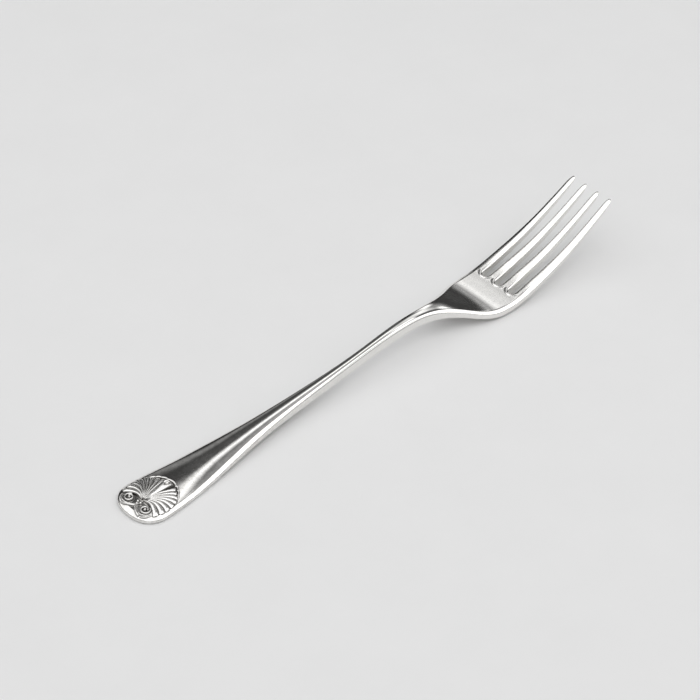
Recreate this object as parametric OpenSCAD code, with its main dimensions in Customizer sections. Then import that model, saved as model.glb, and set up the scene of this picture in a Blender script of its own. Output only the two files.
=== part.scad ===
// Four-tine salad fork with a raised shell on the end of its handle.
// Units are millimetres. X runs from the handle end to the tine tips and Z is up.
// The origin is on the table, midway along the fork.

/* [Overall] */
// Length from the handle end to the tine tips
length = 170; // [155:1:190]
// Height of the underside at the neck
neck_rise = 6.3; // [5:0.1:8.5]
// Height of the underside at the tine tips
tip_rise = 17; // [14:0.1:20]

/* [Handle] */
// Width of the rounded handle end
terminal_width = 16.2; // [15:0.2:19]
// Thickness of the handle end
terminal_thickness = 1.9; // [1.7:0.1:2.4]
// Length of the round at the handle end
end_run = 7.6; // [6:0.1:8]
// Width of the stem at its slimmest
stem_width = 3; // [2.6:0.1:4.2]
// Thickness of the stem
stem_thickness = 3.2; // [2.4:0.1:3.8]
// Height of the rounded crown along the handle, as a share of the half width
crown_share = 0.08; // [0:0.01:0.1]

/* [Head] */
// Width of the head
head_width = 18.8; // [17.6:0.1:21]
// Thickness of the head
head_thickness = 2.8; // [2.4:0.1:3.4]
// Depth of the dish across the top of the head
dish_depth = 0.1; // [0:0.05:0.4]
// Depth of the belly across the underside of the head
belly_depth = 0.5; // [0.3:0.05:0.8]

/* [Tines] */
// Length of the tines from slot end to tip
tine_length = 37; // [30:0.5:40]
// Distance between the slots at their round ends
root_pitch = 5.2; // [5:0.05:5.4]
// Distance between the tine tips
tip_pitch = 4.7; // [4.3:0.05:5]
// Width of a slot past its round end
slot_width = 2.2; // [1.8:0.1:2.8]
// Width of a tine before its tip is rounded
tip_width = 1.75; // [1.2:0.05:2]
// Thickness of a tine at its tip
tip_thickness = 1.2; // [1:0.1:1.5]

/* [Edges] */
// Breadth of the bevel round the top
bevel_run = 1.2; // [0.8:0.1:1.4]
// Drop of that bevel
bevel_drop = 0.6; // [0.3:0.05:0.7]
// Rounding where the bevel meets the side
edge_round = 0.25; // [0.1:0.05:0.3]
// Breadth of the rounding below
foot_run = 0.8; // [0.5:0.05:1]
// Rise of the rounding below
foot_rise = 0.6; // [0.3:0.05:0.7]

/* [Shell] */
// Reach of the fan from its root
fan_reach = 10.6; // [9:0.1:11]
// Number of ribs on each side of the fan
side_ribs = 8; // [6:1:10]
// Height of the fan above its seat
fan_height = 0.9; // [0.7:0.05:1.2]
// Depth of the grooves between the ribs
rib_depth = 0.35; // [0.2:0.05:0.4]
// Radius of a scroll
scroll_radius = 1.6; // [1.3:0.05:1.7]
// Height of a scroll above its seat
scroll_height = 0.8; // [0.6:0.05:1.1]
// Width of the bracket moulding
bracket_width = 0.7; // [0.5:0.05:0.9]
// Height of the bracket moulding
bracket_height = 0.35; // [0.25:0.05:0.5]

/* [Hidden] */

silver = [0.80, 0.79, 0.77];
pale_silver = [0.86, 0.85, 0.82];
hair = 0.001;

// Distances back from the slot ends
heel_back = 5;
head_back = 12;
neck_back = 29;
neck_lead = 4;
flare_back = 35;
flare_stop = 3;

// Places along the fork, measured from the handle end
root_place = length - tine_length;
heel_place = root_place - heel_back;
head_start = root_place - head_back;
neck_place = root_place - neck_back;
neck_start = neck_place - neck_lead;
flare_start = root_place - flare_back;
flare_end = root_place - flare_stop;
widest_place = 8;
seat_end = 18;
stem_start = 26;
slim_share = 0.72;
slim_place = seat_end + slim_share * (neck_place - seat_end);

// Small helpers
function between(low, high, share) = low + (high - low) * share;
function clip(value) = min(1, max(0, value));
function ease(value) = let (t = clip(value)) t * t * (3 - 2 * t);
function steps(low, high, count) = [for (i = [0 : count]) between(low, high, i / count)];
function joined(lists) = [for (list = lists, item = list) item];
function reversed(list) = [for (i = [len(list) - 1 : -1 : 0]) list[i]];
function rest(list) = [for (i = [1 : len(list) - 1]) list[i]];
function last(list) = list[len(list) - 1];
function mean(points) = [for (p = points) 1 / len(points)] * points;

// Smooth curve through stations of place and value: a natural cubic spline.
// A sweep forward and a pass back give the bend at every station.
function sweep(s, i = 1, rows = [[0, 0]]) =
    i == len(s) - 1 ? rows :
    let (
        before = s[i] - s[i - 1],
        after = s[i + 1] - s[i],
        span = before[0] + after[0],
        near = before[0] / span,
        pivot = near * rows[i - 1][0] + 2,
        load = 6 * (after[1] / after[0] - before[1] / before[0]) / span
    )
    sweep(s, i + 1, concat(rows, [[(near - 1) / pivot, (load - near * rows[i - 1][1]) / pivot]]));
function pass_back(rows, i, found) =
    i < 0 ? found : pass_back(rows, i - 1, concat([rows[i][0] * found[0] + rows[i][1]], found));
function bends(s) = let (rows = sweep(s)) pass_back(rows, len(rows) - 1, [0]);
function curve(s, bend, x) =
    let (
        i = max([0, for (k = [0 : len(s) - 2]) if (x >= s[k][0]) k]),
        run = s[i + 1][0] - s[i][0],
        b = (x - s[i][0]) / run,
        a = 1 - b
    )
    a * s[i][1] + b * s[i + 1][1]
    + ((a * a * a - a) * bend[i] + (b * b * b - b) * bend[i + 1]) * run * run / 6;

// Plan: half width along the fork.
// The taper and the flare are shares of the way along and of the change in width.
handle_taper = [[0.17, 0.82], [0.5, 0.3], [0.75, 0.09]];
shoulder_flare = [[0.31, 0.12], [0.55, 0.48], [0.75, 0.86]];
flare_width = 1.2 * stem_width;
outer_width = 3 * tip_pitch + tip_width;
width_stations = concat(
    [[0, terminal_width / 2], [widest_place, terminal_width / 2]],
    [for (t = handle_taper)
        [between(widest_place, slim_place, t[0]), between(stem_width, terminal_width, t[1]) / 2]],
    [[slim_place, stem_width / 2], [flare_start, flare_width / 2]],
    [for (t = shoulder_flare)
        [between(flare_start, flare_end, t[0]), between(flare_width, head_width, t[1]) / 2]],
    [[flare_end, head_width / 2],
     [between(root_place, length, 0.25), between(head_width, outer_width, 0.15) / 2],
     [length, outer_width / 2]]
);
width_bends = bends(width_stations);
end_power = 2.4;
function end_share(x) = pow(1 - pow(1 - clip(x / end_run), end_power), 1 / end_power);
function half_width(x) = curve(width_stations, width_bends, x) * end_share(x);
function width_slope(x) = (half_width(x + hair) - half_width(x - hair)) / (2 * hair);

// Side view: underside on the centre line, thickness, dish and belly of the head and crown of the handle
underside_stations = [
    [0, 0], [seat_end, 0],
    [between(seat_end, neck_place, 0.28), 0.28 * neck_rise], [slim_place, slim_share * neck_rise],
    [neck_place, neck_rise], [between(neck_place, heel_place, 0.44), 0.6 * neck_rise],
    [between(neck_place, heel_place, 0.71), 0.21 * neck_rise], [heel_place, 0],
    [between(heel_place, length, 0.29), 0.14 * tip_rise],
    [between(heel_place, length, 0.64), 0.475 * tip_rise],
    [length, tip_rise]
];
underside_bends = bends(underside_stations);
wear = 0.06;
function underside(x) = max(0, curve(underside_stations, underside_bends, x) - wear);

thickness_stations = [
    [0, terminal_thickness], [seat_end, terminal_thickness],
    [between(seat_end, neck_place, 0.56), stem_thickness], [neck_place, stem_thickness],
    [between(neck_place, heel_place, 0.6), between(stem_thickness, head_thickness, 0.75)],
    [root_place, head_thickness],
    [between(root_place, length, 0.6), between(head_thickness, tip_thickness, 0.4)], [length, tip_thickness]
];
thickness_bends = bends(thickness_stations);
function thickness(x) = x < seat_end ? terminal_thickness : curve(thickness_stations, thickness_bends, x);

crown_start = 16;
crown_run = 14;
function head_share(x) = ease((x - neck_place) / (heel_place - neck_place));
function tine_fade(x) = 1 - 0.5 * ease((x - root_place) / tine_length);
function dish(x) = dish_depth * head_share(x) * tine_fade(x);
function belly(x) = belly_depth * head_share(x) * tine_fade(x);
function crown(x) =
    crown_share * half_width(x) * ease((x - crown_start) / crown_run) * (1 - head_share(x));

// Heights of the top and the underside before their edges are shaped, and what the edges take off
function across(x, y) = pow(y / half_width(x), 2);
function plain_foot(x, y) = underside(x) + belly(x) * across(x, y);
function plain_top(x, y) =
    underside(x) + thickness(x) + dish(x) * across(x, y) + crown(x) * (1 - across(x, y));
function round_loss(edge, run) = 1 - sqrt(1 - pow(1 - min(1, edge / run), 2));
function top_loss(edge, run) =
    bevel_drop * max(0, 1 - edge / run) + edge_round * round_loss(edge, edge_round);
function foot_loss(edge, run) = foot_rise * round_loss(edge, run);

// Cross-section of the handle and head.
// Each point is set by its distance to the outline, so the edges run evenly round the handle end.
top_edges = [0, 0.3 * edge_round, edge_round, 0.6 * bevel_run, bevel_run];
foot_edges = [0, 0.12 * foot_run, 0.4 * foot_run, foot_run];
top_rungs = [0.75, 0.5, 0.25, 0];
foot_rungs = [0.5, 0];
function offset_at(x, edge) =
    let (w = half_width(x), lean = w * sqrt(1 + pow(width_slope(x), 2)))
    sqrt(max(0, w * w + 2 * edge * edge - 2 * edge * sqrt(lean * lean + edge * edge)));
function middle_edge(x) = half_width(x) / (2 * max(hair, abs(width_slope(x))));
function columns(x, edges, rungs) =
    let (
        spread = half_width(x) * hair,
        out = [for (i = [0 : len(edges) - 1])
            [max(offset_at(x, edges[i]), spread * (len(edges) - i)), min(edges[i], middle_edge(x))]]
    )
    concat(out, [for (r = rungs) [last(out)[0] * r, last(out)[1]]]);
function half_top(x) =
    [for (c = columns(x, top_edges, top_rungs)) [x, c[0], plain_top(x, c[0]) - top_loss(c[1], bevel_run)]];
function half_foot(x) =
    [for (c = columns(x, foot_edges, foot_rungs)) [x, c[0], plain_foot(x, c[0]) + foot_loss(c[1], foot_run)]];
function mirrored(points) = [for (p = points) [p[0], -p[1], p[2]]];
function section(x) =
    let (top = half_top(x), foot = half_foot(x))
    concat(top, rest(reversed(mirrored(top))), mirrored(foot), rest(reversed(foot)));

// Cross-section of a tine, between its two sides.
// Beside a slot the edges are shaped only past the slot's round end.
side_shares = [0, 0.035, 0.1, 0.25];
tine_shares = concat(side_shares, [0.5], reversed([for (s = side_shares) 1 - s]));
edge_limit = 0.45;
tip_run = 3.2;
tip_end = 0.3;
function slot_gap(x) =
    let (
        radius = slot_width / 2,
        back = root_place + radius - x,
        opening = (tip_pitch - tip_width) / 2
    )
    back > 0 ? sqrt(max(0, radius * radius - back * back))
             : between(radius, opening, -back / (tine_length - radius));
function slot_place(x, number) = number * between(root_pitch, tip_pitch, (x - root_place) / tine_length);
function tine_sides(x, number) = [
    number == 0 ? -half_width(x) : slot_place(x, number - 2) + slot_gap(x),
    number == 3 ? half_width(x) : slot_place(x, number - 1) - slot_gap(x)
];
function slot_side(number, share) = (number > 0 && share < 0.5) || (number < 3 && share > 0.5);
function tine_row(x, number, share, sides) =
    let (
        y = between(sides[0], sides[1], share),
        breadth = sides[1] - sides[0],
        edge = min(share, 1 - share) * breadth,
        slimness = thickness(x) / head_thickness,
        shaped = slimness * (slot_side(number, share) ? ease((x - root_place) / slot_width) : 1)
    )
    [
        [x, y, plain_top(x, y) - shaped * top_loss(edge, min(bevel_run, edge_limit * breadth))],
        [x, y, plain_foot(x, y) + shaped * foot_loss(edge, min(foot_run, edge_limit * breadth))]
    ];
function tip_share(x) = between(tip_end, 1, sqrt(1 - pow(clip((x - length + tip_run) / tip_run), 2)));
function shrunk(points, share) = let (middle = mean(points)) [for (p = points) middle + (p - middle) * share];
function tine_section(x, number) =
    let (
        sides = tine_sides(x, number),
        rows = [for (s = tine_shares) tine_row(x, number, s, sides)]
    )
    shrunk(concat([for (r = reversed(rows)) r[0]], [for (r = rows) r[1]]), tip_share(x));

// Solid through a row of cross-sections, closed flat at both ends
module loft(sections) {
    size = len(sections[0]);
    final = len(sections) - 1;
    sides = [
        for (i = [0 : final - 1], j = [0 : size - 1])
        let (a = i * size + j, b = i * size + (j + 1) % size)
        each [[a, b + size, b], [a, a + size, b + size]]
    ];
    start_cap = [for (j = [0 : size - 1]) j];
    end_cap = [for (j = [size - 1 : -1 : 0]) final * size + j];
    translate([-length / 2, 0, 0])
        polyhedron(points = joined(sections), faces = concat(sides, [start_cap, end_cap]), convexity = 8);
}

// Solid under a grid of heights, standing on the flat seat of the terminal
module raised(grid) {
    rows = len(grid) - 1;
    size = len(grid[0]);
    tops = joined(grid);
    feet = [for (p = tops) [p[0], p[1], 0]];
    under = len(tops);
    cover = [
        for (i = [0 : rows - 1], j = [0 : size - 2])
        let (a = i * size + j)
        each [[a, a + 1, a + size + 1], [a, a + size + 1, a + size]]
    ];
    seat = [for (f = cover) reversed(f) + [under, under, under]];
    loop = concat(
        [for (j = [0 : size - 2]) j],
        [for (i = [0 : rows - 1]) i * size + size - 1],
        [for (j = [size - 1 : -1 : 1]) rows * size + j],
        [for (i = [rows : -1 : 1]) i * size]
    );
    walls = [
        for (k = [0 : len(loop) - 1])
        let (a = loop[k], b = loop[(k + 1) % len(loop)])
        each [[b, a, a + under], [b, a + under, b + under]]
    ];
    translate([-length / 2, 0, terminal_thickness])
        polyhedron(points = concat(tops, feet), faces = concat(cover, seat, walls), convexity = 8);
}

// Fan of the shell: ribs leave a root and bow out to an oval rim, with one broad lobe in the middle
fan_root = 5.4;
fan_middle = 7.6;
seat_margin = 0.2;
fan_side = terminal_width / 2 - bevel_run - seat_margin;
fan_spread = 115;
fan_bow = 2.2;
fan_rows = [0.06, 0.18, 0.32, 0.46, 0.6, 0.74, 0.86, 0.95, 1];
lobe_half = 11;
rib_steps = 6;
scallop = 0.04;
side_turns = steps(lobe_half, fan_spread, side_ribs * rib_steps);
fan_turns = concat([for (t = reversed(side_turns)) -t], steps(-0.75, 0.75, 6) * lobe_half, side_turns);
function rib(turn) =
    let (out = abs(turn) - lobe_half)
    out < 0 ? cos(90 * turn / lobe_half) : abs(sin(180 * side_ribs * out / (fan_spread - lobe_half)));
function rim_point(turn) =
    [fan_middle + (fan_root + fan_reach - fan_middle) * cos(turn), fan_side * sin(turn)];
function rib_point(share, turn) =
    let (
        root = [fan_root, 0],
        tip = rim_point(turn),
        bow = fan_bow * (1 - cos(turn)) / (1 - cos(fan_spread)),
        bend = (root + tip) / 2 + [bow, 0]
    )
    pow(1 - share, 2) * root + 2 * share * (1 - share) * bend + share * share * tip;
function fan_point(share, turn) =
    let (
        groove = 1 - rib(turn),
        place = rib_point(share * (1 - scallop * groove * share), turn),
        swell = sin(between(35, 150, share))
    )
    [place[0], place[1], (fan_height - rib_depth * groove) * swell];
fan_grid = [for (share = fan_rows) [for (turn = fan_turns) fan_point(share, turn)]];

// Round-topped band along a path of centre points and headings
band_shares = [-1, -0.7, 0, 0.7, 1];
band_lip = 0.35;
function band_row(centre, heading, width, height) = [
    for (s = band_shares)
    [
        centre[0] - sin(heading) * s * width / 2,
        centre[1] + cos(heading) * s * width / 2,
        height * between(band_lip, 1, sqrt(1 - s * s))
    ]
];

// Scroll: a band that winds in to its centre
scroll_place = [fan_root - 1.75, 3.45];
scroll_turns = 1.25;
scroll_band = scroll_radius / 2.45;
scroll_start = 20;
function scroll_row(share) =
    let (
        angle = scroll_start + 360 * scroll_turns * share,
        radius = between(scroll_radius - scroll_band / 2, 0.55 * scroll_band, share)
    )
    band_row(scroll_place + radius * [cos(angle), sin(angle)], angle + 90, scroll_band,
             scroll_height * between(0.6, 1, share));

// Bracket: an ogee moulding between the scrolls and the handle end
bracket_half = 2.6;
bracket_depth = 1.1;
bracket_end = bevel_run + bracket_width / 2 + seat_margin;
function bracket_row(share) =
    let (
        y = bracket_half * share,
        wave = 180 * share,
        x = bracket_end + bracket_depth * (1 + cos(wave)) / 2,
        lean = atan(bracket_depth / 2 * sin(wave) * PI / bracket_half)
    )
    band_row([x, y], 90 + lean, bracket_width, bracket_height);

// Places of the cross-sections: closer together where the outline turns quickly
terminal_places = concat(
    [for (t = steps(4, 90, 16)) end_run * (1 - cos(t))], rest(steps(end_run, stem_start, 12)));
stem_places = steps(stem_start, neck_start, 32);
neck_places = steps(neck_start, head_start, 20);
head_places = steps(head_start, root_place, 14);
slot_end = root_place + slot_width / 2;
tip_start = length - tip_run;
tine_places = concat(
    [for (t = steps(0, 90, 7)) root_place + slot_width / 2 * (1 - cos(t))],
    rest(steps(slot_end, tip_start, 18)),
    rest([for (t = steps(0, 90, 7)) tip_start + tip_run * sin(t)])
);

module terminal() color(silver) loft([for (x = terminal_places) section(x)]);
module stem() color(silver) loft([for (x = stem_places) section(x)]);
module neck() color(silver) loft([for (x = neck_places) section(x)]);
module head() color(silver) loft([for (x = head_places) section(x)]);
module tine(number) color(silver) loft([for (x = tine_places) tine_section(x, number)]);
module shell_fan() color(pale_silver) raised(fan_grid);
module scroll_left() color(pale_silver) raised([for (share = steps(0, 1, 40)) scroll_row(share)]);
module scroll_right() mirror([0, 1, 0]) scroll_left();
module end_bracket() color(pale_silver) raised([for (share = steps(-1, 1, 24)) bracket_row(share)]);

terminal();
shell_fan();
scroll_left();
scroll_right();
end_bracket();
stem();
neck();
head();
tine(0);  // tine_1
tine(1);  // tine_2
tine(2);  // tine_3
tine(3);  // tine_4
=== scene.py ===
import math

import bpy
import numpy as np
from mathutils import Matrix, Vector


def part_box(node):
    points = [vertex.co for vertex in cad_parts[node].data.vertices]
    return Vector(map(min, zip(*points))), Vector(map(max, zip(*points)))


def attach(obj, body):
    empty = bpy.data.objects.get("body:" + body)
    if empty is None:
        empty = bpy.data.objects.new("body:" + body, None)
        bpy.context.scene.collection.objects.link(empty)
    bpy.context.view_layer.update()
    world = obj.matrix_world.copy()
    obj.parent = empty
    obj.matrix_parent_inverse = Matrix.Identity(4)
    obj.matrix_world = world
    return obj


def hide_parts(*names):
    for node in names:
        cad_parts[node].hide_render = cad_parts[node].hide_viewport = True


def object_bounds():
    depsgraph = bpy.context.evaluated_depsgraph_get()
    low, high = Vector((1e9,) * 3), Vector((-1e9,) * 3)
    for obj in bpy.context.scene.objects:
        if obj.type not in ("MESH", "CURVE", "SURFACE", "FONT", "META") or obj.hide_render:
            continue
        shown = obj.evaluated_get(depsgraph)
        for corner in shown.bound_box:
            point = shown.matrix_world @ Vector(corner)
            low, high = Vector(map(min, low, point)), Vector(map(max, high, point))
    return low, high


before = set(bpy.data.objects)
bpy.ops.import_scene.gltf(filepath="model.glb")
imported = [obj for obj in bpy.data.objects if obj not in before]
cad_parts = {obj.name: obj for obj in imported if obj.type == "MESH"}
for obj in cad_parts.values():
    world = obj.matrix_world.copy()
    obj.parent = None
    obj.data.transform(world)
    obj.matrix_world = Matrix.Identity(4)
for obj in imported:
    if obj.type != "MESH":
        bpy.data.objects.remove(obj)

cad_low, cad_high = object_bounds()

# The fork is drawn in millimetres, with x measured from the handle end, and placed in metres.
MM = 0.001

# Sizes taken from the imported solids
handle_end = cad_low.x / MM
length = (cad_high.x - cad_low.x) / MM


def node_start(node):
    """Place along the fork where a solid starts."""
    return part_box(node)[0].x / MM - handle_end


def node_width(node):
    """Width of a solid across the fork."""
    low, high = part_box(node)
    return high.y / MM - low.y / MM


terminal_width = node_width("terminal")
stem_start = node_start("stem")
neck_start = node_start("neck")
head_start = node_start("head")
root_place = node_start("tine_1")
tine_length = length - root_place

# Sizes of the fork that no box shows
neck_rise = 6.3
tip_rise = 17
terminal_thickness = 1.9
end_run = 7.6
end_power = 2.4
stem_width = 3
stem_thickness = 3.2
crown_share = 0.08
head_width = 18.8
head_thickness = 2.8
dish_depth = 0.1
belly_depth = 0.5
root_pitch = 5.2
tip_pitch = 4.7
slot_width = 2.2
tip_width = 1.75
tip_thickness = 1.2

# Slots and tines, numbered from the near side to the far one
slots = (-1, 0, 1)
tine_count = len(slots) + 1
last_tine = tine_count - 1
outer_width = len(slots) * tip_pitch + tip_width

# Distances back from the slot ends
heel_back = 5
neck_back = 29
flare_back = 35
flare_stop = 3

# Places along the fork
heel_place = root_place - heel_back
neck_place = root_place - neck_back
flare_start = root_place - flare_back
flare_end = root_place - flare_stop
widest_place = 8
seat_end = 18
slim_share = 0.72
slim_place = seat_end + slim_share * (neck_place - seat_end)


# Small helpers
def between(low, high, share):
    """Value a share of the way from low to high."""
    return low + (high - low) * share


def ease(value):
    """Smooth growth from 0 to 1 as the value does the same."""
    t = np.clip(value, 0, 1)
    return t * t * (3 - 2 * t)


def grow(value, start, full):
    """Smooth growth from 0 at the start to 1 at the full value."""
    return ease((value - start) / (full - start))


def spaced(count, power):
    """Shares from 0 to 1, closer together near 0."""
    return np.linspace(0, 1, count + 1) ** power


def spaced_both(count, power):
    """Shares from 0 to 1, closer together near both ends."""
    half = spaced(count, power) / 2
    return np.concatenate([half, 1 - half[-2::-1]])


def stations(start, stop, low, high, shares):
    """Points of a curve, each given as a share of the way along and a share of the change in value."""
    return [(between(start, stop, way), between(low, high, part)) for way, part in shares]


class Curve:
    """Natural cubic spline through points of place and value."""

    def __init__(self, points):
        self.place, self.value = np.array(points, float).T
        run = np.diff(self.place)
        slope = np.diff(self.value) / run
        rows = np.eye(len(self.place))
        load = np.zeros(len(self.place))
        for i in range(1, len(self.place) - 1):
            rows[i, i - 1:i + 2] = run[i - 1], 2 * (run[i - 1] + run[i]), run[i]
            load[i] = 6 * (slope[i] - slope[i - 1])
        self.bend = np.linalg.solve(rows, load)

    def __call__(self, x):
        i = np.clip(np.searchsorted(self.place, x, side="right") - 1, 0, len(self.place) - 2)
        run = self.place[i + 1] - self.place[i]
        b = (x - self.place[i]) / run
        a = 1 - b
        bent = ((a ** 3 - a) * self.bend[i] + (b ** 3 - b) * self.bend[i + 1]) * run ** 2 / 6
        return a * self.value[i] + b * self.value[i + 1] + bent


# Plan: half width along the fork
handle_taper = [(0.17, 0.82), (0.5, 0.3), (0.75, 0.09)]
shoulder_flare = [(0.31, 0.12), (0.55, 0.48), (0.75, 0.86)]
tine_taper = [(0.25, 0.15)]
flare_growth = 1.2
terminal_half = terminal_width / 2
stem_half = stem_width / 2
flare_half = flare_growth * stem_half
head_half = head_width / 2
outer_half = outer_width / 2
plain_width = Curve([
    (0, terminal_half),
    (widest_place, terminal_half),
    *stations(widest_place, slim_place, stem_half, terminal_half, handle_taper),
    (slim_place, stem_half),
    (flare_start, flare_half),
    *stations(flare_start, flare_end, flare_half, head_half, shoulder_flare),
    (flare_end, head_half),
    *stations(root_place, length, head_half, outer_half, tine_taper),
    (length, outer_half),
])


def half_width(x):
    """Half the width of the fork, with its rounded handle end."""
    end_share = (1 - (1 - np.clip(x / end_run, 0, 1)) ** end_power) ** (1 / end_power)
    return plain_width(x) * end_share


def width_slope(x):
    """Change of the half width for each millimetre along the fork."""
    hair = 0.001
    return (half_width(x + hair) - half_width(x - hair)) / (2 * hair)


# Side view: underside on the centre line and thickness
stem_climb = [(0.28, 0.28), (slim_share, slim_share)]
neck_fall = [(0.44, 0.6), (0.71, 0.21)]
tine_climb = [(0.29, 0.14), (0.64, 0.475)]
stem_thickening = [(0.56, 1)]
neck_thinning = [(0.6, 0.75)]
tine_thinning = [(0.6, 0.4)]
wear = 0.06
rise_blend = 0.3
rise_sink = 0.08
underside_line = Curve([
    (0, 0),
    (seat_end, 0),
    *stations(seat_end, neck_place, 0, neck_rise, stem_climb),
    (neck_place, neck_rise),
    *stations(neck_place, heel_place, 0, neck_rise, neck_fall),
    (heel_place, 0),
    *stations(heel_place, length, 0, tip_rise, tine_climb),
    (length, tip_rise),
])
thickness_line = Curve([
    (0, terminal_thickness),
    (seat_end, terminal_thickness),
    *stations(seat_end, neck_place, terminal_thickness, stem_thickness, stem_thickening),
    (neck_place, stem_thickness),
    *stations(neck_place, heel_place, stem_thickness, head_thickness, neck_thinning),
    (root_place, head_thickness),
    *stations(root_place, length, head_thickness, tip_thickness, tine_thinning),
    (length, tip_thickness),
])


def underside(x):
    """Height of the underside, worn flat where it rests."""
    return np.maximum(0, underside_line(x) - wear)


def rise(x):
    """Rise of the top along the fork: the underside without its worn flats."""
    line = underside_line(x) - wear
    return (line + np.sqrt(line ** 2 + rise_blend ** 2)) / 2 - rise_sink


def thickness(x):
    """Thickness on the centre line, all one under the ornament."""
    return np.where(x < seat_end, terminal_thickness, thickness_line(x))


# Cross-section: dish and belly of the head, crown of the handle
end_crown = 0.3
crown_start = 8
crown_run = 24
tip_flattening = 0.5


def head_share(x):
    """0 up to the neck, 1 from the heel on."""
    return ease((x - neck_place) / (heel_place - neck_place))


def tine_fade(x):
    """Share of the dish and the belly that is left along the tines."""
    return 1 - tip_flattening * ease((x - root_place) / tine_length)


def crown_growth(x):
    """0 at the handle end, 1 where the crown is full."""
    return ease((x - crown_start) / crown_run)


def crown(x):
    """Height of the rounded crown along the handle, in step with its width."""
    full = crown_share * half_width(x) * (1 - head_share(x))
    return full * between(end_crown, 1, crown_growth(x))


def end_drop(x):
    """How far the crown is lowered at the handle end, so that the seat of the shell stays level."""
    return crown(x) * (1 - crown_growth(x))


def across(x, y):
    """Square of the share of the way from the centre line to the outline."""
    return (y / half_width(x)) ** 2


def plain_foot(x, y):
    """Height of the underside without its rounded edges."""
    belly = belly_depth * head_share(x) * tine_fade(x)
    return underside(x) + belly * across(x, y)


def plain_top(x, y):
    """Height of the top without its bevels and roundings."""
    centre = rise(x) + thickness(x) + crown(x) - end_drop(x)
    dish = dish_depth * head_share(x) * tine_fade(x)
    return centre + (dish - crown(x)) * across(x, y)


# Edges: what the bevel and the roundings take off at a distance from the outline
bevel_run = 1.2
bevel_drop = 0.6
edge_round = 0.25
stem_bevel_run = 0.8
stem_bevel_drop = 0.45
stem_edge_round = 0.42
stout_growth = 2.5
end_bevel_run = 2.2
end_bevel_half = 4.4
end_bevel_length = 4
foot_run = 0.8
foot_rise = 0.6
kink = 0.12
tiny = 1e-9


def edge_distance(x, y):
    """Distance from a point to the fork's outline in plan, to first order."""
    w = half_width(x)
    steepness = np.sqrt((w * width_slope(x)) ** 2 + y ** 2 + tiny)
    return np.maximum(0, w ** 2 - y ** 2) / (2 * steepness)


def edge_offset(x, edge):
    """Offset from the centre line of the point at that distance from the outline."""
    w = half_width(x)
    lean = w * np.sqrt(1 + width_slope(x) ** 2)
    return np.sqrt(np.maximum(0, w ** 2 + 2 * edge ** 2 - 2 * edge * np.sqrt(lean ** 2 + edge ** 2)))


def round_loss(edge, run):
    """Drop of a rounding of unit height: 1 at the edge, 0 from the run inwards."""
    return 1 - np.sqrt(1 - (1 - np.minimum(1, edge / run)) ** 2)


def bevel_loss(edge, run, drop, rounding):
    """Drop of the top near an edge: a bevel with a soft kink, then a rounding."""
    ramp = 1 - edge / run
    bevel = (ramp + np.sqrt(ramp ** 2 + kink ** 2)) / 2
    return drop * bevel + rounding * round_loss(edge, rounding)


def rim_loss(x, y):
    """Drop of the top along the outline: rounder on the slim stem, a broad facet at the handle end."""
    stout = ease((plain_width(x) - stem_half) / stout_growth)
    end = (1 - np.minimum(1, np.abs(y) / end_bevel_half) ** 2) * (1 - ease(x / end_bevel_length))
    run = between(between(stem_bevel_run, bevel_run, stout), end_bevel_run, end)
    drop = between(stem_bevel_drop, bevel_drop, stout)
    rounding = between(stem_edge_round, edge_round, stout)
    return bevel_loss(edge_distance(x, y), run, drop, rounding)


def foot_loss(edge, run):
    """Lift of the underside near an edge."""
    return foot_rise * round_loss(edge, run)


# Slots between the tines: rounded all round, with a fine raised lip behind each slot end
slot_radius = slot_width / 2
tip_gap = (tip_pitch - tip_width) / 2
rim_round = 0.6
lip_height = 0.1
lip_back = 0.8
lip_half = 0.25
dome_drop = 0.3
dome_start = 5
dome_lead = 18


def slot_line(x, number):
    """Offset of the middle of a slot."""
    return number * between(root_pitch, tip_pitch, (x - root_place) / tine_length)


def slot_gap(x):
    """Half the opening of a slot: a round end, then straight sides that part towards the tips."""
    back = root_place + slot_radius - x
    arc = np.sqrt(np.maximum(0, slot_radius ** 2 - back ** 2))
    parting = -back / (tine_length - slot_radius)
    return np.where(back > 0, arc, between(slot_radius, tip_gap, parting))


def slot_distance(x, y, number):
    """Distance from a point to the edge of a slot."""
    back = np.maximum(0, root_place + slot_radius - x)
    away = np.hypot(back, y - slot_line(x, number))
    reach = np.where(back > 0, slot_radius, slot_gap(x))
    return np.maximum(0, away - reach)


def dome_growth(x):
    """0 up to a little past the slot ends, 1 where the tines are fully domed."""
    return ease((x - root_place - dome_start) / dome_lead)


def slot_top_loss(x, y, number, run):
    """Drop of the top near a slot: the dome of the tine and the rounding, less the lip."""
    edge = slot_distance(x, y, number)
    dome = dome_drop * dome_growth(x) * np.maximum(0, 1 - edge / run) ** 2
    behind = ease((root_place + slot_radius - x) / slot_radius)
    lip = lip_height * behind * np.exp(-((edge - lip_back) / lip_half) ** 2)
    return dome + rim_round * round_loss(edge, rim_round) - lip


# Columns of points across the fork: close together at the outer edges and where the slots open
edge_reach = 1.7
edge_count = 16
edge_crowding = 1.8
edge_fit = 0.98
rung_count = 8
rung_crowding = 1.6
edge_columns = edge_reach * spaced(edge_count, edge_crowding)
root_inner = float(edge_offset(np.array(root_place), np.array(edge_reach)))
slot_share = root_pitch / root_inner
outer_rungs = between(slot_share, 1, spaced(rung_count, rung_crowding)[::-1])
inner_rungs = slot_share * spaced_both(rung_count, rung_crowding)[::-1]
half_rungs = np.concatenate([outer_rungs[1:], inner_rungs[1:]])
middle_column = len(edge_columns) + len(half_rungs) - 1
last_column = 2 * middle_column
slot_column = len(edge_columns) + len(outer_rungs) - 2
tine_stops = [0, slot_column, middle_column, last_column - slot_column, last_column]


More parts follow.
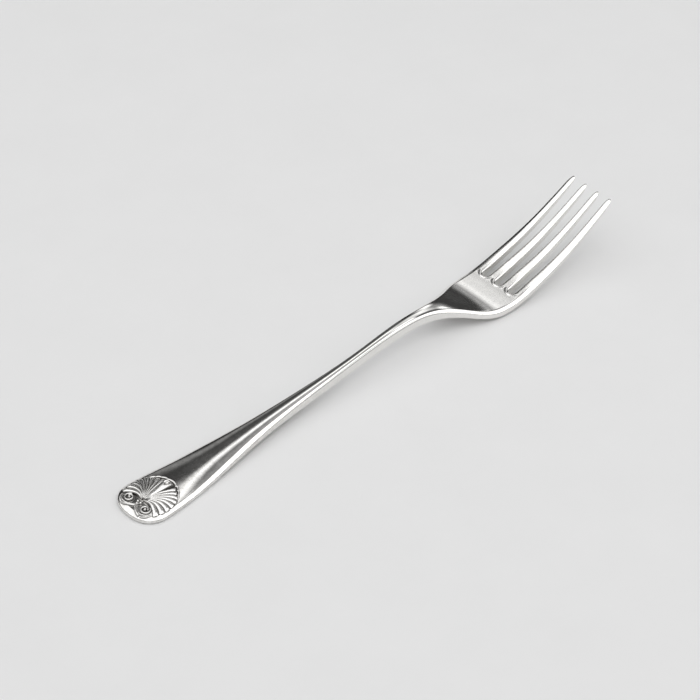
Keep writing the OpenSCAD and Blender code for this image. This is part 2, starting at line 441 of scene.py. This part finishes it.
def body_offsets(x):
    """Offsets of the columns at each place, from the far edge to the near one.

    The edge columns draw together where the outline turns across the fork.
    """
    room = half_width(x) / (2 * np.maximum(tiny, np.abs(width_slope(x))))
    fit = np.minimum(1, edge_fit * room / edge_reach)
    edges = edge_offset(x[:, None], edge_columns * fit[:, None])
    rungs = edges[:, -1:] * half_rungs
    half = np.concatenate([edges, rungs], axis=1)
    return np.concatenate([half, -half[:, -2::-1]], axis=1)


# Rings of points round the cross-sections
wall_steps = 3
tip_run = 3.2
tip_power = 2.4
tip_stop = 0.999
edge_limit = 0.45


def ring(x, y, top, foot):
    """Closed rings through the top, the near side, the underside and the far side of each section."""
    shares = np.linspace(0, 1, wall_steps + 1)[1:-1]
    near_wall = between(top[:, -1:], foot[:, -1:], shares)
    far_wall = between(foot[:, :1], top[:, :1], shares)
    near_y = np.repeat(y[:, -1:], len(shares), axis=1)
    far_y = np.repeat(y[:, :1], len(shares), axis=1)
    sideways = np.concatenate([y, near_y, y[:, ::-1], far_y], axis=1)
    height = np.concatenate([top, near_wall, foot[:, ::-1], far_wall], axis=1)
    along = np.repeat(x[:, None], sideways.shape[1], axis=1)
    return np.stack([along, sideways, height], axis=-1)


def body_rings(x):
    """Rings of the handle, neck and head."""
    y = body_offsets(x)
    place = x[:, None]
    top = plain_top(place, y) - rim_loss(place, y)
    foot = plain_foot(place, y) + foot_loss(edge_distance(place, y), foot_run)
    for number in slots:
        top = top - slot_top_loss(place, y, number, bevel_run)
        foot = foot + foot_loss(slot_distance(place, y, number), foot_run)
    return ring(x, y, top, foot)


def tine_sides(x, tine):
    """Offsets of the two sides of a tine."""
    low = -half_width(x) if tine == 0 else slot_line(x, slots[tine - 1]) + slot_gap(x)
    high = half_width(x) if tine == last_tine else slot_line(x, slots[tine]) - slot_gap(x)
    return low, high


def tine_shares(tine):
    """Places of the columns across a tine, as shares of its width, in line with those of the head."""
    from_far = last_tine - tine
    columns = body_offsets(np.array([root_place]))[0, tine_stops[from_far]:tine_stops[from_far + 1] + 1]
    return (columns - columns[-1]) / (columns[0] - columns[-1])


def tip_scale(x):
    """Size of the sections along a tine: 1, then falling along a rounded tip."""
    tip = np.clip((x - length + tip_run) / tip_run, 0, tip_stop)
    return (1 - tip ** tip_power) ** (1 / tip_power)


def tine_rings(x, tine):
    """Rings of one tine."""
    low, high = tine_sides(x, tine)
    y = between(low[:, None], high[:, None], tine_shares(tine))
    place = x[:, None]
    slimness = thickness(place) / head_thickness
    breadth = (high - low)[:, None]
    top_run = np.minimum(bevel_run, edge_limit * breadth)
    under_run = np.minimum(foot_run, edge_limit * breadth)
    top = plain_top(place, y)
    foot = plain_foot(place, y)
    if tine in (0, last_tine):
        edge = edge_distance(place, y)
        top = top - slimness * bevel_loss(edge, top_run, bevel_drop, edge_round)
        foot = foot + slimness * foot_loss(edge, under_run)
    for number in slots[max(0, tine - 1):tine + 1]:
        top = top - slimness * slot_top_loss(place, y, number, top_run)
        foot = foot + slimness * foot_loss(slot_distance(place, y, number), under_run)
    mid_height = (top.max(axis=1) + foot.min(axis=1)) / 2
    middle = np.stack([x, (low + high) / 2, mid_height], axis=-1)[:, None]
    return middle + (ring(x, y, top, foot) - middle) * tip_scale(x)[:, None, None]


# Places of the rings: closer together where the outline turns quickly
end_first_turn = math.radians(1.5)
end_rings = 48
terminal_pitch = 0.4
stem_pitch = 0.9
neck_pitch = 0.4
head_pitch = 0.35
tine_pitch = 0.45
slot_lead = 2.5
slot_lead_rings = 20
slot_lead_crowding = 1.6
slot_end_rings = 13
tip_rings = 19


def steps(low, high, pitch):
    """Even steps from low to high, no longer than the pitch."""
    return np.linspace(low, high, math.ceil((high - low) / pitch) + 1)


def quarter(count):
    """Angles of a quarter turn."""
    return np.linspace(0, math.pi / 2, count)


body_places = {
    "terminal": np.concatenate([
        end_run * (1 - np.cos(np.linspace(end_first_turn, math.pi / 2, end_rings))),
        steps(end_run, stem_start, terminal_pitch)[1:],
    ]),
    "stem": steps(stem_start, neck_start, stem_pitch),
    "neck": steps(neck_start, head_start, neck_pitch),
    "head": np.concatenate([
        steps(head_start, root_place - slot_lead, head_pitch),
        root_place - slot_lead * spaced(slot_lead_rings, slot_lead_crowding)[-2::-1],
    ]),
}
tine_places = np.concatenate([
    root_place + slot_radius * (1 - np.cos(quarter(slot_end_rings))),
    steps(root_place + slot_radius, length - tip_run, tine_pitch)[1:],
    length - tip_run + tip_run * np.sin(quarter(tip_rings))[1:],
])


# Meshes
def ring_faces(rows, size):
    """Four-sided faces between closed rings of points."""
    a = (np.arange(rows - 1)[:, None] * size + np.arange(size)).ravel()
    b = (np.arange(rows - 1)[:, None] * size + (np.arange(size) + 1) % size).ravel()
    return np.stack([a, b, b + size, a + size], axis=-1)


def placed(points):
    """Points in metres in the frame of the solids, held inside their box."""
    moved = (np.asarray(points).reshape(-1, 3) + [handle_end, 0, 0]) * MM
    return np.clip(moved, np.array(cad_low), np.array(cad_high))


def shared_normals(bodies):
    """Smooth normals over several meshes at once, so that no seam shows where they meet."""
    weld = 1e-8
    smallest = 1e-30
    points = np.concatenate([p for p, _ in bodies])
    starts = np.cumsum([0] + [len(p) for p, _ in bodies])
    faces = np.concatenate([f + s for (_, f), s in zip(bodies, starts)])
    same = np.unique(np.round(points / weld).astype(np.int64), axis=0, return_inverse=True)[1].ravel()
    a, b, c, d = (points[corner] for corner in faces.T)
    facing = np.cross(c - a, d - b)
    total = np.zeros((same.max() + 1, 3))
    for corner in faces.T:
        np.add.at(total, same[corner], facing)
    total /= np.maximum(np.linalg.norm(total, axis=1, keepdims=True), smallest)
    return [total[same[s:e]] for s, e in zip(starts, starts[1:])]


def add_mesh(name, points, faces, tarnish_and_shade):
    """Mesh object with a value of tarnish and painted shade at every point."""
    mesh = bpy.data.meshes.new(name)
    mesh.from_pydata([tuple(p) for p in points], [], [tuple(f) for f in faces])
    layer = mesh.attributes.new("tarnish_and_shade", "FLOAT", "POINT")
    layer.data.foreach_set("value", np.asarray(tarnish_and_shade, np.float32))
    mesh.polygons.foreach_set("use_smooth", np.ones(len(mesh.polygons), bool))
    piece = bpy.data.objects.new(name, mesh)
    bpy.context.collection.objects.link(piece)
    return piece


def dress(piece, node, material):
    """The piece stands for a solid, moves with the fork and takes a finish."""
    piece.data.materials.append(material)
    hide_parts(node)
    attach(piece, "root")


# Places of the ornament on the handle end
scroll_place = np.array([3.6, 3.2])
scroll_radius = 1.7
bracket_cusp = 2.75
bracket_fall = 1.6
bracket_half = 3.5


def bracket_line(y):
    """Line of the bracket: an ogee between the scrolls and the end, with its cusp towards the shell."""
    share = np.minimum(1, np.abs(y) / bracket_half)
    return bracket_cusp - bracket_fall * np.sin(share * math.pi / 2)


# Tarnish and painted shade on the handle end
ground_dark = 0.2
scroll_dark = 0.75
ground_blend = 0.5
ground_margin = 0.5
ground_lead = 0.7
ground_end = 8


def ground_tarnish_and_shade(x, y):
    """Tarnish and painted shade in the ground of the ornament, from the bracket to the fan, darkest
    under the scrolls.
    """
    past_bracket = ease((x - bracket_line(y) + ground_lead) / ground_blend)
    under_fan = ease((ground_end - x) / ground_blend)
    off_edge = ease((edge_distance(x, y) - ground_margin) / ground_blend)
    from_scroll = np.hypot(x - scroll_place[0], np.abs(y) - scroll_place[1])
    under_scroll = ease((scroll_radius - from_scroll) / ground_blend)
    return between(ground_dark, scroll_dark, under_scroll) * past_bracket * under_fan * off_edge


# Handle, neck, head and tines
def add_body(node, rings, points, faces, smooth, material):
    """Closed mesh of one solid: its rings with a flat cap at each end."""
    size = rings.shape[1]
    start_cap = np.arange(size)[::-1]
    end_cap = len(points) - size + np.arange(size)
    # Tarnish and painted shade in the ground of the ornament
    tarnish_and_shade = ground_tarnish_and_shade(rings[..., 0], rings[..., 1]).ravel()
    piece = add_mesh(f"{node}_silver", points, [*faces, start_cap, end_cap], tarnish_and_shade)
    caps = np.repeat([[-1.0, 0, 0], [1.0, 0, 0]], size, axis=0)
    piece.data.normals_split_custom_set(np.concatenate([smooth[faces.ravel()], caps]).tolist())
    dress(piece, node, material)


def build_body(material):
    """Pieces of the body, with normals that run on from one to the next."""
    rings = {node: body_rings(places) for node, places in body_places.items()}
    for tine in range(tine_count):
        rings[f"tine_{tine + 1}"] = tine_rings(tine_places, tine)
    bodies = [(placed(grid), ring_faces(*grid.shape[:2])) for grid in rings.values()]
    normals = shared_normals(bodies)
    for (node, grid), (points, faces), smooth in zip(rings.items(), bodies, normals):
        add_body(node, grid, points, faces, smooth, material)


# Ornament: grids of points raised from the top of the handle end
sink = 0.03
sharp_angle = math.radians(55)


def raised(grid, height):
    """Closed solid from the seat up to a grid of points at those heights: points and faces."""
    rows, size = height.shape
    seat = plain_top(grid[..., 0], grid[..., 1]) - rim_loss(grid[..., 0], grid[..., 1])
    top = np.dstack([grid, seat + height]).reshape(-1, 3)
    foot = np.dstack([grid, seat - sink]).reshape(-1, 3)
    index = np.arange(rows * size).reshape(rows, size)
    corners = [index[:-1, :-1], index[:-1, 1:], index[1:, 1:], index[1:, :-1]]
    cover = np.stack(corners, axis=-1).reshape(-1, 4)
    loop = np.concatenate([index[0, :-1], index[:-1, -1], index[-1, :0:-1], index[:0:-1, 0]])
    after = np.roll(loop, -1)
    under = rows * size
    walls = np.stack([after, loop, loop + under, after + under], axis=-1)
    return np.concatenate([top, foot]), np.concatenate([cover, cover[:, ::-1] + under, walls])


def relief(grid, height, tarnish_and_shade):
    """Raised solid with its tarnish and painted shade: points, faces and a value for each point, with
    painted shade dark on the seat.
    """
    points, faces = raised(grid, height)
    top = np.broadcast_to(tarnish_and_shade, height.shape).ravel()
    # Painted shade: the points at the foot are fully dark
    return points, faces, np.concatenate([top, np.ones(height.size)])


def joined(parts):
    """One mesh from several: points, faces, and the tarnish and painted shade."""
    starts = np.cumsum([0] + [len(p) for p, _, _ in parts])
    points = np.concatenate([p for p, _, _ in parts])
    faces = np.concatenate([f + s for (_, f, _), s in zip(parts, starts)])
    return points, faces, np.concatenate([t for _, _, t in parts])


def add_ornament(node, parts, material):
    """One piece of the ornament, with sharp edges where its faces turn steeply."""
    points, faces, tarnish_and_shade = joined(parts)
    piece = add_mesh(f"{node}_relief", placed(points), faces, tarnish_and_shade)
    piece.data.set_sharp_from_angle(angle=sharp_angle)
    dress(piece, node, material)


# Bands and bosses of the ornament, with painted shade at their feet
band_columns = 13
band_lip = 0.15
band_dark = 0.9
band_dark_power = 6
boss_columns = 29
boss_rows = 10
boss_middle = 0.02
boss_lip = 0.1
boss_dark = 0.7
boss_dark_power = 8


def band(path, width, height):
    """Raised band along a path of plan points, rounded on top, with painted shade at its foot."""
    along = np.gradient(path, axis=0)
    along /= np.linalg.norm(along, axis=1, keepdims=True)
    side = np.stack([-along[:, 1], along[:, 0]], axis=-1)
    sideways = np.sin(np.linspace(-math.pi / 2, math.pi / 2, band_columns))
    grid = path[:, None] + side[:, None] * sideways[None, :, None] * width / 2
    ridge = np.broadcast_to(height, (len(path),))[:, None]
    tall = ridge * between(band_lip, 1, np.sqrt(1 - sideways ** 2))
    return relief(grid, tall, band_dark * sideways ** band_dark_power)


def boss(place, radius, height):
    """Raised round boss, with painted shade at its foot."""
    turn = np.linspace(0, 2 * math.pi, boss_columns)[None]
    reach = np.linspace(boss_middle, 1, boss_rows)[:, None]
    grid = np.array(place) + radius * np.stack([reach * np.cos(turn), reach * np.sin(turn)], axis=-1)
    dome = np.sqrt(np.maximum(boss_lip ** 2, 1 - reach ** 2))
    tall = np.broadcast_to(height * dome, grid.shape[:2])
    return relief(grid, tall, boss_dark * reach ** boss_dark_power)


# Fan of the shell: ribs leave a root and bow out to an oval rim, with one broad lobe in the middle
fan_root = 5.4
fan_middle = 7.6
fan_reach = 10.6
fan_margin = 0.8
fan_side = terminal_half - fan_margin
fan_bow = 2.3
fan_height = 0.9
plate_height = 0.08
scallop = 0.035

# Turns round the oval rim, in degrees from the middle line
fan_spread = 120
lobe_half = 15
front_turns = (70, 30)

# Swells: the degrees of a sine that the height follows from the root to the rim
fan_swell = (42, 160)
lobe_swell = (42, 105)

# Ribs and the grooves between them
side_ribs = 8
rib_depth = 0.42
rib_power = 2.4
rib_growth = (0.15, 0.45)
rib_finish = 0.12
front_stop = 0.9
side_stop = 0.99
# Tarnish and painted shade in the grooves: where it starts across a rib, and how dark it is
groove_start = 0.6
groove_dark = 0.95

# Border along the front of the rim
border_middle = 0.97
border_half = 0.03
border_height = 0.34

# Lobe with a hollow and an eye in it
lobe_lift = 0.5
lift_growth = (0.4, 1)
hollow_depth = 0.4
hollow_radius = 1
# Tarnish and painted shade in the hollow round the eye
hollow_dark = 0.6
eye_reach = 8.2
eye_place = fan_root + eye_reach
eye_radius = 0.45

# Beads at the root of the fan
bead_places = [(3.5, 0), (4.3, 0.55), (4.3, -0.55)]
bead_radius = 0.42
bead_height = 0.7

# Points of the fan's grid
rib_columns = 14
lobe_columns = 41
row_start = 0.05
row_change = 0.7
inner_rows = 28
outer_rows = 46


def rib_point(share, turn):
    """Point on a rib: a bowed line from the root to the oval rim."""
    angle = np.radians(turn)
    tip_x = fan_middle + (fan_root + fan_reach - fan_middle) * np.cos(angle)
    tip_y = fan_side * np.sin(angle)
    bow = fan_bow * np.sin(angle) ** 2
    first = (1 - share) ** 2
    second = 2 * share * (1 - share)
    third = share ** 2
    x = first * fan_root + second * ((fan_root + tip_x) / 2 + bow) + third * tip_x
    y = second * tip_y / 2 + third * tip_y
    return np.stack([x, y], axis=-1)


def fan_lines():
    """Turns of the columns round the rim and the rows' shares of the way out from the root."""
    side = np.linspace(lobe_half, fan_spread, side_ribs * rib_columns + 1)
    middle = np.linspace(-lobe_half, lobe_half, lobe_columns)[1:-1]
    inner = np.linspace(row_start, row_change, inner_rows)
    outer = np.linspace(row_change, 1, outer_rows)[1:]
    turn = np.concatenate([-side[::-1], middle, side])
    return turn[None], np.concatenate([inner, outer])[:, None]


def rib_place(turn, in_lobe):
    """Place across the rib or the lobe at a turn round the rim, from -1 to 1."""
    rib = side_ribs * (np.abs(turn) - lobe_half) / (fan_spread - lobe_half)
    number = np.floor(np.clip(rib, 0, side_ribs - 1))
    return np.where(in_lobe, turn / lobe_half, 2 * (rib - number) - 1)


def fan():
    """The fan as one relief: each column is a line from the root, each row a share of the way out."""
    turn, row = fan_lines()
    in_lobe = np.abs(turn) < lobe_half
    aside = rib_place(turn, in_lobe)
    curl = 1 - np.sqrt(np.maximum(0, 1 - aside ** 2))
    grid = rib_point(row * (1 - scallop * row * curl), turn)

    # Ribs and lobe
    front = grow(np.abs(turn), *front_turns)
    way = np.minimum(1, row / between(side_stop, front_stop, front))
    distinct = grow(way, *rib_growth)
    bend = np.where(in_lobe, between(*lobe_swell, way), between(*fan_swell, way))
    swell = fan_height * np.sin(np.radians(bend))
    ribs = swell - rib_depth * distinct * np.abs(aside) ** rib_power

    # Eye and border
    from_eye = np.hypot(grid[..., 0] - eye_place, grid[..., 1])
    hollow = in_lobe * grow(from_eye, hollow_radius, eye_radius)
    bead = in_lobe * np.sqrt(np.maximum(0, eye_radius ** 2 - from_eye ** 2))
    lift = in_lobe * lobe_lift * grow(way, *lift_growth)
    body = ribs + lift - hollow_depth * hollow + bead
    rib_end = np.sqrt(1 - np.clip((way - 1 + rib_finish) / rib_finish, 0, 1) ** 2)
    from_border = (row - border_middle) / border_half
    border = front * border_height * np.sqrt(np.maximum(0, 1 - from_border ** 2))
    height = np.maximum(plate_height, np.maximum(body * rib_end, border))

    # Tarnish and painted shade in the grooves, in the hollow and on the bare plate
    groove = grow(np.abs(aside), groove_start, 1) * distinct * (way < 1)
    dark_hollow = hollow_dark * hollow * (from_eye > eye_radius)
    bare = height <= plate_height
    return relief(grid, height, np.maximum(dark_hollow, groove_dark * np.maximum(groove, bare)))


def fan_parts():
    """The fan and its beads."""
    return [fan()] + [boss(place, bead_radius, bead_height) for place in bead_places]


# Scroll: a band that winds in to a boss, with leaves round its outer side
scroll_height = 0.8
scroll_low = 0.6
scroll_band = 0.52
scroll_points = 160
scroll_eye = 0.42
leaf_band = 0.4
leaf_height = 0.5
leaf_points = 60

# Heading where the band starts, in degrees, and the turns that it winds
scroll_start = 20
scroll_turns = 1.15

# A leaf rises and falls with a sine, less these radians at each end
leaf_blunt = 0.3

# Radius of each leaf round the scroll, with its first and last heading in degrees
leaf_arcs = [(1.95, 95, 225), (2.45, 95, 165)]


def turned(radius, degrees):
    """Plan points at a distance and heading from the middle of the scroll."""
    angle = np.radians(degrees)
    return scroll_place + np.stack([radius * np.cos(angle), radius * np.sin(angle)], axis=-1)


def leaf(radius, start, stop):
    """Path of a leaf: an arc round the scroll."""
    return turned(np.full(leaf_points, radius), np.linspace(start, stop, leaf_points))


def scroll_parts(side):
    """Scroll on one side of the fork: 1 for the far side, -1 for the near one."""
    share = np.linspace(0, 1, scroll_points)
    winding = turned(
        between(scroll_radius - scroll_band / 2, scroll_eye + scroll_band / 2, share),
        scroll_start + 360 * scroll_turns * share)
    mirror = [1, side]
    taper = np.sin(np.linspace(leaf_blunt, math.pi - leaf_blunt, leaf_points))
    leaves = [band((leaf(*arc) * mirror)[::side], leaf_band, leaf_height * taper) for arc in leaf_arcs]
    climb = scroll_height * between(scroll_low, 1, share)
    return leaves + [
        band((winding * mirror)[::side], scroll_band, climb[::side]),
        boss(scroll_place * mirror, scroll_eye, scroll_height),
    ]


# Bracket: a moulding along the bracket line, with a finer one beside it
bracket_band = 0.6
bracket_height = 0.5
bracket_points = 90
fillet_band = 0.26
fillet_height = 0.3
fillet_gap = 0.5
fillet_half = 2.4
fillet_points = 70


def bracket_parts():
    """The moulding and the finer one."""
    y = np.linspace(-bracket_half, bracket_half, bracket_points)
    inner = np.linspace(-fillet_half, fillet_half, fillet_points)
    return [
        band(np.stack([bracket_line(y), y], axis=-1), bracket_band, bracket_height),
        band(np.stack([bracket_line(inner) + fillet_gap, inner], axis=-1), fillet_band, fillet_height),
    ]


def build_ornament(material):
    """The four pieces of the ornament."""
    add_ornament("shell_fan", fan_parts(), material)
    add_ornament("scroll_left", scroll_parts(1), material)
    add_ornament("scroll_right", scroll_parts(-1), material)
    add_ornament("end_bracket", bracket_parts(), material)


# Shader nodes
noise_roughness = 0.65


class Nodes:
    """Adds shader nodes to the tree of a material, lamp or world and fills their inputs."""

    def __init__(self, owner):
        owner.use_nodes = True
        self.tree = owner.node_tree

    def fill(self, socket, value):
        """Links an output to a socket, or sets a plain value on it."""
        if isinstance(value, bpy.types.NodeSocket):
            self.tree.links.new(value, socket)
        else:
            socket.default_value = value

    def add(self, kind, **inputs):
        """Node with its inputs filled by name, with _ for a space."""
        node = self.tree.nodes.new(f"ShaderNode{kind}")
        for key, value in inputs.items():
            self.fill(node.inputs[key.replace("_", " ")], value)
        return node

    def math(self, operation, *values, kind="Math", result="Value"):
        """Result of a Math or VectorMath node."""
        node = self.tree.nodes.new(f"ShaderNode{kind}")
        node.operation = operation
        for socket, value in zip(node.inputs, values):
            self.fill(socket, value)
        return node.outputs[result]

    def noise(self, place, scale, detail):
        """Value of a noise texture."""
        node = self.add("TexNoise", Vector=place, Scale=scale, Detail=detail, Roughness=noise_roughness)
        return node.outputs["Fac"]

    def spread(self, value, source, target):
        """Value moved from one range to another."""
        node = self.add("MapRange", Value=value, From_Min=source[0], From_Max=source[1])
        self.fill(node.inputs["To Min"], target[0])
        self.fill(node.inputs["To Max"], target[1])
        return node.outputs["Result"]

    def blend(self, factor, first, second):
        """Mix of two colours. The Mix node keeps its colour sockets at these numbers."""
        node = self.add("Mix", Factor=factor)
        node.data_type = "RGBA"
        self.fill(node.inputs[6], first)
        self.fill(node.inputs[7], second)
        return node.outputs[2]


# Places in metres between which the patches fade along the handle and the polish dulls on the head
worn_handle = ((handle_end + seat_end) * MM, (handle_end + slim_place) * MM)
worn_head = ((handle_end + neck_place) * MM, (handle_end + root_place) * MM)

# Silver: patches and scratches of wear, pits, and the tarnish and painted shade that each mesh carries
patch_scale = 700
patch_detail = 5
patch_range = (0.35, 0.65)
patch_left = 0.2
scratch_stretch = (350, 6000, 6000)
scratch_detail = 3
scratch_strength = 0.02
scratch_depth = 0.00005
grain_scale = 2600
grain_detail = 3
grain_range = (0.35, 0.75)
pit_range = (0.6, 0.8)
pit_dark = 0.25
# Dark colour of the tarnish and painted shade, and the roughness that they add
tarnish_and_shade_colour = (0.04, 0.037, 0.034)
tarnish_and_shade_roughness = 0.3


def silver(name, bright, dull, roughness, head_roughness):
    """Silver between two colours, over a range of roughness and with more of it on the head."""
    material = bpy.data.materials.new(name)
    nodes = Nodes(material)
    shader = nodes.tree.nodes["Principled BSDF"]
    place = nodes.add("TexCoord").outputs["Object"]
    along = nodes.add("SeparateXYZ", Vector=place).outputs["X"]
    grain = nodes.noise(place, grain_scale, grain_detail)

    # Tarnish, painted shade and pits
    attribute = nodes.add("Attribute")
    attribute.attribute_name = "tarnish_and_shade"
    pits = nodes.spread(grain, pit_range, (0, pit_dark))
    tarnish_and_shade = nodes.math("MAXIMUM", attribute.outputs["Fac"], pits)

    # Colour: dull patches that are strongest on the wide part of the handle
    handled = nodes.spread(along, worn_handle, (1, patch_left))
    patches = nodes.spread(nodes.noise(place, patch_scale, patch_detail), patch_range, (0, handled))
    worn = nodes.blend(patches, (*bright, 1), (*dull, 1))
    nodes.fill(shader.inputs["Base Color"], nodes.blend(tarnish_and_shade, worn, (*tarnish_and_shade_colour, 1)))

    # Roughness: the grain of the polish, the dulled head, and the tarnish and painted shade
    polish = nodes.spread(grain, grain_range, roughness)
    used = nodes.spread(along, worn_head, (0, head_roughness))
    dulled = nodes.math("ADD", polish, used)
    rough = nodes.math("MULTIPLY_ADD", tarnish_and_shade, tarnish_and_shade_roughness, dulled)
    nodes.fill(shader.inputs["Roughness"], rough)

    # Fine scratches along the fork
    stretched = nodes.add("Mapping", Vector=place, Scale=scratch_stretch).outputs["Vector"]
    scratches = nodes.noise(stretched, 1, scratch_detail)
    lines = nodes.add("Bump", Strength=scratch_strength, Distance=scratch_depth, Height=scratches)
    nodes.fill(shader.inputs["Normal"], lines.outputs["Normal"])
    nodes.fill(shader.inputs["Metallic"], 1.0)
    return material


def polished_silver():
    """Handle, neck, head and tines."""
    return silver("polished_silver", bright=(0.9, 0.89, 0.87), dull=(0.68, 0.67, 0.65),
                  roughness=(0.03, 0.09), head_roughness=0.11)


def ornament_silver():
    """Shell, scrolls and bracket: whiter and less smooth."""
    return silver("ornament_silver", bright=(0.95, 0.94, 0.92), dull=(0.86, 0.85, 0.83),
                  roughness=(0.2, 0.32), head_roughness=0)


# Floor
floor_half = 4
floor_scale = 40
floor_detail = 5
floor_tones = (0.76, 0.8)
floor_roughness = 0.9
floor_shine = 0.1


def floor_material():
    """Pale matt grey, hardly uneven."""
    material = bpy.data.materials.new("pale_floor")
    nodes = Nodes(material)
    shader = nodes.tree.nodes["Principled BSDF"]
    place = nodes.add("TexCoord").outputs["Object"]
    tone = nodes.spread(nodes.noise(place, floor_scale, floor_detail), (0, 1), floor_tones)
    nodes.fill(shader.inputs["Base Color"], tone)
    nodes.fill(shader.inputs["Roughness"], floor_roughness)
    nodes.fill(shader.inputs["Specular IOR Level"], floor_shine)
    return material


def add_floor():
    """Wide flat floor, which belongs to the stage and not to the fork."""
    mesh = bpy.data.meshes.new("floor")
    corners = [(-1, -1, 0), (1, -1, 0), (1, 1, 0), (-1, 1, 0)]
    mesh.from_pydata([Vector(corner) * floor_half for corner in corners], [], [(0, 1, 2, 3)])
    mesh.materials.append(floor_material())
    floor = bpy.data.objects.new("floor", mesh)
    bpy.context.collection.objects.link(floor)


# Camera at the photograph's angle
view_elevation = math.radians(41.5)
view_azimuth = math.radians(42.3)
view_distance = 0.8
pixels_per_metre = 3710
image_width = 700
aim = Vector((-0.0052, 0, 0.0073))
aim_pixel = (356, 357)
sensor_width = 36
nearest = 0.01
heading = Vector((math.sin(view_azimuth), math.cos(view_azimuth), 0))


def add_camera():
    """Camera turned so that the aimed point falls on its pixel."""
    forward = heading * math.cos(view_elevation) - Vector((0, 0, math.sin(view_elevation)))
    right = forward.cross(Vector((0, 0, 1))).normalized()
    up = right.cross(forward)
    offset = right * (aim_pixel[0] - image_width / 2) - up * (aim_pixel[1] - image_width / 2)
    data = bpy.data.cameras.new("photo_camera")
    data.sensor_width = sensor_width
    data.lens = sensor_width * pixels_per_metre * view_distance / image_width
    data.clip_start = nearest
    camera = bpy.data.objects.new("photo_camera", data)
    bpy.context.collection.objects.link(camera)
    camera.location = aim - forward * view_distance
    target = aim - offset / pixels_per_metre
    camera.rotation_euler = (target - camera.location).to_track_quat("-Z", "Y").to_euler()
    bpy.context.scene.camera = camera


# World
glow_range = (-0.75, 1)
glow_levels = (0.045, 0.72)


def add_world():
    """Dim studio round the fork, lighter behind the camera."""
    world = bpy.data.worlds.new("studio")
    nodes = Nodes(world)
    direction = nodes.add("TexCoord").outputs["Generated"]
    behind = nodes.math("DOT_PRODUCT", direction, tuple(-heading), kind="VectorMath")
    glow = nodes.spread(behind, glow_range, glow_levels)
    nodes.fill(nodes.tree.nodes["Background"].inputs["Color"], glow)
    bpy.context.scene.world = world


# Lamps: flat soft panels, each where the fork mirrors it towards the camera
ceiling = 0.8
lamp_step = 0.001

# Name, centre, length and width in metres, turn in degrees, brightness with white at 1,
# and the shares of the length and width over which the lamp fades at each edge
lamps = [
    ("overhead", (-0.33, 0.26), (1.06, 1.98), 0, 1.12, (0.05, 0.12)),
    ("side_panel", (0.7, -0.44), (1.4, 0.82), 0, 1.3, (0.1, 0.12)),
    ("low_side_panel", (0.75, -1.22), (1.0, 0.5), 0, 1.3, (0.2, 0.2)),
    ("fill_panel", (0.7, 0.22), (1.2, 0.5), 0, 0.32, (0.2, 0.2)),
    ("handle_strip", (0.26, 0.498), (0.46, 0.115), 16, 1.35, (0.2, 0.5)),
    ("back_strip", (0.36, 0.84), (0.7, 0.2), 8, 0.2, (0.2, 0.4)),
    ("stem_strip", (0.53, 0.46), (0.42, 0.12), 17, 1.1, (0.2, 0.2)),
    ("head_strip", (0.58, 0.608), (0.36, 0.1), 19, 0.22, (0.2, 0.2)),
    ("heel_panel", (0.95, 0.767), (1.6, 0.24), 25, 1.05, (0.5, 0.2)),
    ("neck_panel", (1.6, 1.38), (1.7, 0.3), 36, 1.2, (0.35, 0.3)),
    ("shoulder_panel", (1.95, 1.1), (1.0, 0.3), 33, 1.2, (0.3, 0.25)),
    ("far_panel", (1.95, 1.31), (3.0, 0.5), 30, 0.3, (0.5, 0.4)),
]


def soften(data, fades):
    """Lets a lamp fade towards its edges, over those shares of its length and width."""
    half = 0.5
    nodes = Nodes(data)
    place = nodes.add("NewGeometry").outputs["Parametric"]
    centred = nodes.math("SUBTRACT", place, (half, half, half), kind="VectorMath", result="Vector")
    off_centre = nodes.math("ABSOLUTE", centred, kind="VectorMath", result="Vector")
    parts = nodes.add("SeparateXYZ", Vector=off_centre).outputs
    levels = [nodes.spread(part, (half, half - fade), (0, 1)) for part, fade in zip(parts, fades)]
    nodes.fill(nodes.tree.nodes["Emission"].inputs["Strength"], nodes.math("MULTIPLY", *levels))


def add_lamp(height, name, centre, size, turn, brightness, fades):
    """Rectangular lamp at a height, facing down."""
    data = bpy.data.lights.new(name, "AREA")
    data.shape = "RECTANGLE"
    data.size, data.size_y = size
    data.energy = brightness * math.pi * size[0] * size[1]
    soften(data, fades)
    lamp = bpy.data.objects.new(name, data)
    bpy.context.collection.objects.link(lamp)
    lamp.location = (*centre, height)
    lamp.rotation_euler.z = math.radians(turn)


def add_lamps():
    """Each lamp hangs a little below the one before, so that a mirror shows both where they overlap."""
    for number, lamp in enumerate(lamps):
        add_lamp(ceiling - number * lamp_step, *lamp)


# Scene
bpy.context.scene.view_settings.view_transform = "Standard"
build_body(polished_silver())
build_ornament(ornament_silver())
add_floor()
add_world()
add_lamps()
add_camera()
